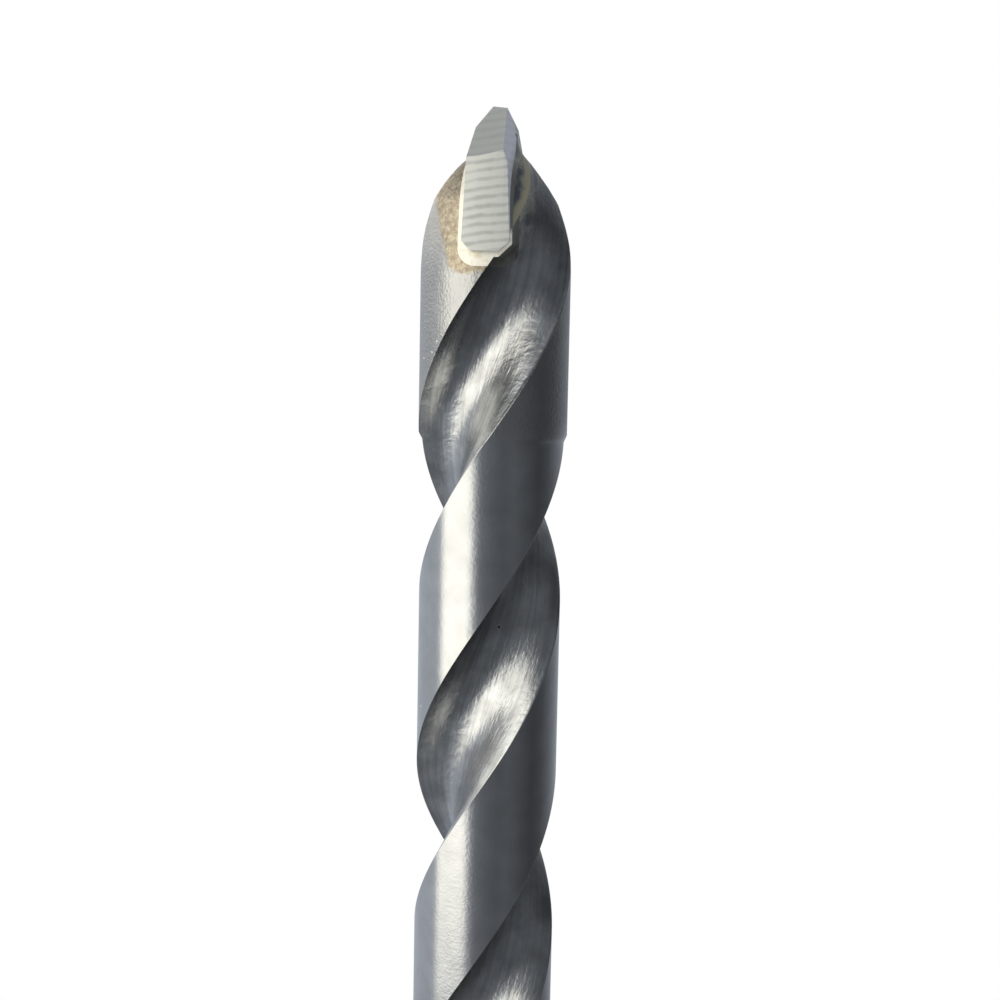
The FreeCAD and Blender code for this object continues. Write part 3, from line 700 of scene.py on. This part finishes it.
def dressedCopy(nodeName, pieceName, material, bevelWidth):
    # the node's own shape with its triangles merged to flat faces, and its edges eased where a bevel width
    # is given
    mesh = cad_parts[nodeName].data.copy()
    mesh.name = pieceName
    mesh.materials.clear()
    shape = bmesh.new()
    shape.from_mesh(mesh)
    bmesh.ops.remove_doubles(shape, verts=shape.verts, dist=dressing["weld"] * mm)
    bmesh.ops.dissolve_limit(
        shape, angle_limit=math.radians(dressing["flatWithin"]), verts=shape.verts, edges=shape.edges)
    shape.to_mesh(mesh)
    shape.free()
    piece = meshPiece(pieceName, mesh, [material], nodeName)
    if bevelWidth:
        ease = piece.modifiers.new("edges", "BEVEL")
        ease.width = bevelWidth * mm
        ease.segments = 2
        ease.limit_method = "ANGLE"
        ease.angle_limit = math.radians(dressing["sharpFrom"])
    mesh.shade_smooth()
    mesh.set_sharp_from_angle(angle=math.radians(dressing["sharpFrom"]))
    return piece


dressedCopy("carbide_tip", "carbidePlate", sinteredCarbide(carbideLook), dressing["plateBevel"])
dressedCopy("braze_seam", "brazeMetal", brazeMetal(brazeLook), 0)
print("plate and braze dressed")

photoView = {
    "azimuth": 8.0, "elevation": 6.76, "roll": 1.15,    # degrees; all the rest is in mm
    "aimHeight": 99.83, "aimRight": 0.446, "distance": 84.95,
    "lens": 58.68, "sensorWidth": 36.0, "nearest": 2.0, "furthest": 20000.0,
}
studio = {
    "floorSize": 3000.0, "floorColour": "#e9e9e7", "backdrop": "#ffffff",
    "floorFade": (60.0, 150.0),      # from the drill outwards the floor turns into plain white backdrop
    "ambient": 0.55, "ambientColour": "#f2f4f8",
}
# A light tent that only gloss sees. Azimuth is in degrees to the right of the camera, elevation is
# seen from the drill's head, and brightness belongs to the azimuth above it.
tent = {
    "radius": 1000.0, "height": 1500.0, "aboveFloor": 0.1,    # mm
    "rows": 89, "columns": 180,
    "azimuth": (-180, -110, -28, -18, 5, 20, 35, 50, 65, 80, 100, 120, 150, 180),
    "brightness": (0.70, 0.72, 0.65, 0.27, 0.19, 0.16, 0.18, 0.15, 0.115, 0.085, 0.12, 0.22, 0.42, 0.70),
    "colour": "#dde5f2",
    "farMost": 0.28, "farFrom": 25.0, "farTo": 60.0,   # no brighter than this far overhead and underfoot
}
softBoxes = [
    {"azimuth": -56.5, "halfWidth": 26.5, "elevation": 5.0, "halfHeight": 34.0, "soft": 13.0,
     "brightness": 1.95, "colour": "#fffdf6"},
    {"azimuth": -126.0, "halfWidth": 36.0, "elevation": 20.0, "halfHeight": 14.0, "soft": 14.0,
     "brightness": 1.25, "colour": "#fbfaf6"},
]
lamps = [
    {"name": "keyLight", "azimuth": -45.0, "elevation": 35.0, "distance": 500.0, "width": 350.0,
     "power": 1.3, "colour": "#fff6ea"},
    {"name": "fillLight", "azimuth": 120.0, "elevation": 40.0, "distance": 600.0, "width": 400.0,
     "power": 0.5, "colour": "#eef2ff"},
]


def stagePiece(name, mesh, material):
    # something round the drill that isn't part of it
    mesh.materials.append(material)
    piece = bpy.data.objects.new(name, mesh)
    bpy.context.scene.collection.objects.link(piece)
    return piece


floorMesh = bpy.data.meshes.new("floor")
halfFloor = studio["floorSize"] / 2 * mm
floorCorners = [(x * halfFloor, y * halfFloor, 0) for x, y in ((-1, -1), (1, -1), (1, 1), (-1, 1))]
floorMesh.from_pydata(floorCorners, [], [(0, 1, 2, 3)])


def backgroundRays(tree):
    # 1 for rays that should see the pale background: from the camera, off gloss or through glass
    rays = addNode(tree, "ShaderNodeLightPath")
    gloss = addNode(tree, "ShaderNodeMath", {"operation": "MAXIMUM"}, {
        0: rays.outputs["Is Glossy Ray"], 1: rays.outputs["Is Transmission Ray"]})
    return addNode(tree, "ShaderNodeMath", {"operation": "MAXIMUM"}, {
        0: rays.outputs["Is Camera Ray"], 1: gloss.outputs[0]}).outputs[0]


floorMaterial, tree = newMaterial("paleFloor")
place = addNode(tree, "ShaderNodeTexCoord").outputs["Object"]
fromDrill = addNode(tree, "ShaderNodeVectorMath", {"operation": "LENGTH"}, {0: place})
fadeStart, fadeEnd = studio["floorFade"]
fade = addNode(tree, "ShaderNodeMapRange", {"interpolation_type": "SMOOTHSTEP"}, {
    "Value": fromDrill.outputs["Value"], "From Min": fadeStart * mm, "From Max": fadeEnd * mm})
asBackdrop = addNode(tree, "ShaderNodeMath", {"operation": "MULTIPLY"}, {
    0: fade.outputs[0], 1: backgroundRays(tree)})
paper = addNode(tree, "ShaderNodeBsdfDiffuse", inputs={"Color": linearColour(studio["floorColour"])})
glow = addNode(tree, "ShaderNodeEmission", inputs={
    "Color": linearColour(studio["backdrop"]), "Strength": 1.0})
both = addNode(tree, "ShaderNodeMixShader", inputs={
    0: asBackdrop.outputs[0], 1: paper.outputs[0], 2: glow.outputs[0]})
addNode(tree, "ShaderNodeOutputMaterial", inputs={"Surface": both.outputs[0]})
stagePiece("floor", floorMesh, floorMaterial)

world = bpy.data.worlds.new("studio")
bpy.context.scene.world = world
world.use_nodes = True
tree = world.node_tree
tree.nodes.clear()
ambient = addNode(tree, "ShaderNodeBackground", inputs={
    "Color": linearColour(studio["ambientColour"]), "Strength": studio["ambient"]})
backdrop = addNode(tree, "ShaderNodeBackground", inputs={
    "Color": linearColour(studio["backdrop"]), "Strength": 1.0})
mixed = addNode(tree, "ShaderNodeMixShader", inputs={
    0: backgroundRays(tree), 1: ambient.outputs[0], 2: backdrop.outputs[0]})
addNode(tree, "ShaderNodeOutputWorld", inputs={"Surface": mixed.outputs[0]})


def softStep(low, high, values):
    # 0 below low, 1 above high, and share squared times (3 - 2 share) between them
    share = np.clip((values - low) / (high - low), 0, 1)
    return share * share * (3 - 2 * share)


def clothGlow(azimuth, elevation):
    # the wall's brightness by azimuth, less far overhead and underfoot, and bright soft boxes on it
    wall = np.interp(azimuth, tent["azimuth"], tent["brightness"])
    far = softStep(tent["farFrom"], tent["farTo"], np.abs(elevation))
    wall = wall * (1 - far) + np.minimum(wall, tent["farMost"]) * far
    glow = wall[..., None] * np.array(linearColour(tent["colour"])[:3])
    for box in softBoxes:
        half = box["soft"] / 2
        inWidth = softStep(half, -half, np.abs(azimuth - box["azimuth"]) - box["halfWidth"])
        inHeight = softStep(half, -half, np.abs(elevation - box["elevation"]) - box["halfHeight"])
        share = (inWidth * inHeight)[..., None]
        glow = glow * (1 - share) + share * box["brightness"] * np.array(linearColour(box["colour"])[:3])
    return glow


def tentMesh():
    # Rows climb in near equal steps of elevation seen from the head. Where the line of sight meets
    # the floor, the wall or the roof first, there lies the point (r sin a, -r cos a, z).
    eyeHeight = photoView["aimHeight"]
    steps = np.concatenate([[-89.9], np.linspace(-88, 88, tent["rows"]), [89.9]])
    azimuth, elevation = np.meshgrid(np.linspace(-180, 180, tent["columns"] + 1)[:-1], steps)
    slope = np.tan(np.radians(elevation))
    fall, rise = eyeHeight - tent["aboveFloor"], tent["height"] - eyeHeight
    reach = np.where(slope < 0, fall / np.maximum(-slope, 1e-6), rise / np.maximum(slope, 1e-6))
    r = np.minimum(reach, tent["radius"])
    turn = np.radians(azimuth + photoView["azimuth"])
    points = np.stack([r * np.sin(turn), -r * np.cos(turn), eyeHeight + r * slope], -1)
    index = np.arange(azimuth.size).reshape(azimuth.shape)
    right = np.roll(index, -1, axis=1)
    quads = np.stack([index[:-1], right[:-1], right[1:], index[1:]], -1).reshape(-1, 4)
    mesh = bpy.data.meshes.new("lightTent")
    mesh.from_pydata((points.reshape(-1, 3) * mm).tolist(), [], quads.tolist())
    glow = clothGlow(azimuth, elevation)
    colour = np.concatenate([glow, np.ones(azimuth.shape + (1,))], -1)
    mesh.attributes.new("clothGlow", "FLOAT_COLOR", "POINT").data.foreach_set("color", colour.reshape(-1))
    return mesh


tentMaterial, tree = newMaterial("tentCloth")
cloth = addNode(tree, "ShaderNodeAttribute", {"attribute_name": "clothGlow"})
lit = addNode(tree, "ShaderNodeEmission", inputs={"Color": cloth.outputs["Color"], "Strength": 1.0})
addNode(tree, "ShaderNodeOutputMaterial", inputs={"Surface": lit.outputs[0]})
tentPiece = stagePiece("lightTent", tentMesh(), tentMaterial)
tentPiece.visible_camera = tentPiece.visible_diffuse = False
tentPiece.visible_shadow = tentPiece.visible_transmission = False


def direction(azimuth, elevation):
    # from the drill towards a place at that azimuth, 0 being straight in front of the plate's end
    a, e = math.radians(azimuth), math.radians(elevation)
    return Vector((math.sin(a) * math.cos(e), -math.cos(a) * math.cos(e), math.sin(e)))


def softLight(name, azimuth, elevation, distance, width, power, colour):
    # a large lamp for the dull surfaces; the tent stands for it in the gloss
    lamp = bpy.data.lights.new(name, "AREA")
    lamp.size = width * mm
    lamp.energy = power
    lamp.color = linearColour(colour)[:3]
    holder = bpy.data.objects.new(name, lamp)
    toLamp = direction(azimuth, elevation)
    holder.location = Vector((0, 0, photoView["aimHeight"] * mm)) + toLamp * distance * mm
    holder.rotation_euler = toLamp.to_track_quat("Z", "Y").to_euler()
    holder.visible_glossy = False
    bpy.context.scene.collection.objects.link(holder)


for lampValues in lamps:
    softLight(**lampValues)

lookBack = direction(photoView["azimuth"], photoView["elevation"])
level = Vector((0, 0, 1)).cross(lookBack).normalized()
upright = lookBack.cross(level)
roll = math.radians(photoView["roll"])
right = level * math.cos(roll) + upright * math.sin(roll)
up = upright * math.cos(roll) - level * math.sin(roll)
cameraData = bpy.data.cameras.new("photoCamera")
cameraData.lens = photoView["lens"]
cameraData.sensor_width = photoView["sensorWidth"]
cameraData.clip_start, cameraData.clip_end = photoView["nearest"] * mm, photoView["furthest"] * mm
cameraObject = bpy.data.objects.new("photoCamera", cameraData)
fromAim = lookBack * photoView["distance"] + right * photoView["aimRight"]
eye = Vector((0, 0, photoView["aimHeight"] * mm)) + fromAim * mm
cameraObject.matrix_world = Matrix.Translation(eye) @ Matrix((right, up, lookBack)).transposed().to_4x4()
bpy.context.scene.collection.objects.link(cameraObject)
bpy.context.scene.camera = cameraObject
bpy.context.scene.view_settings.view_transform = "Standard"
print("camera and lights placed")
